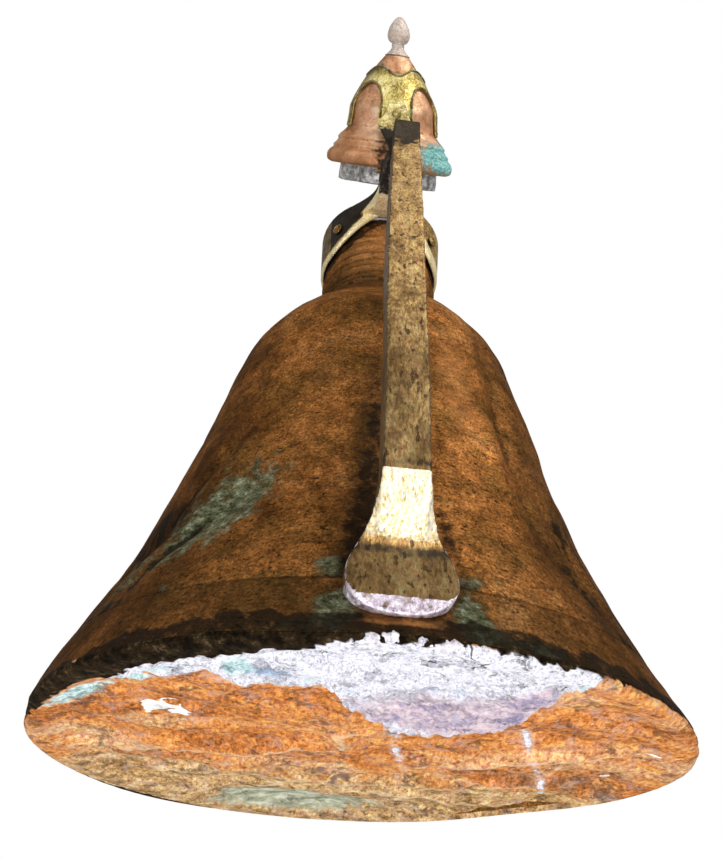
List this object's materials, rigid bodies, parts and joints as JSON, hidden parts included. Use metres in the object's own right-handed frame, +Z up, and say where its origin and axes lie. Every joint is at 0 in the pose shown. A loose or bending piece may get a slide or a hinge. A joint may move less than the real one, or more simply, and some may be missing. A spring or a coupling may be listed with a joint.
{
  "type": "hinged-lid coffee pot",
  "caption": "Waisted copper coffee pot with a flared flat base, side strap handle, beak spout and a hinged domed lid with a drop finial, shown open.",
  "frame": {"origin": "middle of the flat base, on the surface the pot stands on", "axes": "+Z up along the pot's turned axis, +Y towards the handle, -Y towards the spout, X along the hinge pin"},
  "size_m": [0.1933, 0.1968, 0.3094],
  "materials": {
    "base_copper": "bare tarnished copper",
    "body_copper": "aged brown copper",
    "lid_copper": "worn pink copper",
    "aged_brass": "aged cast brass",
    "lid_brass": "pale worn brass",
    "tin": "tinned",
    "finial_metal": "worn grey"
  },
  "bodies": {
    "pot": {"base_pan": "base_copper", "body_shell": "body_copper", "neck_sleeve": "body_copper", "mouth_collar": "aged_brass", "handle": "aged_brass", "spout": "aged_brass", "hinge_pin": "aged_brass", "base_solder": "tin", "neck_solder": "tin", "collar_solder": "tin", "collar_rivet_left": "aged_brass", "collar_rivet_right": "aged_brass"},
    "lid": {"lid_dome": "lid_copper", "lid_skirt": "tin", "lid_overlay": "lid_brass", "lid_hinge_leaf": "lid_brass", "lid_finial": "finial_metal", "finial_washer": "lid_brass", "skirt_solder": "tin", "leaf_rivet": "lid_brass"}
  },
  "joints": [
    {"name": "lid_hinge", "type": "hinge", "parent": "pot", "child": "lid", "pos_m": [0, 0.043, 0.2355], "axis": [1, 0, 0], "range_deg": [0, 57]}
  ]
}
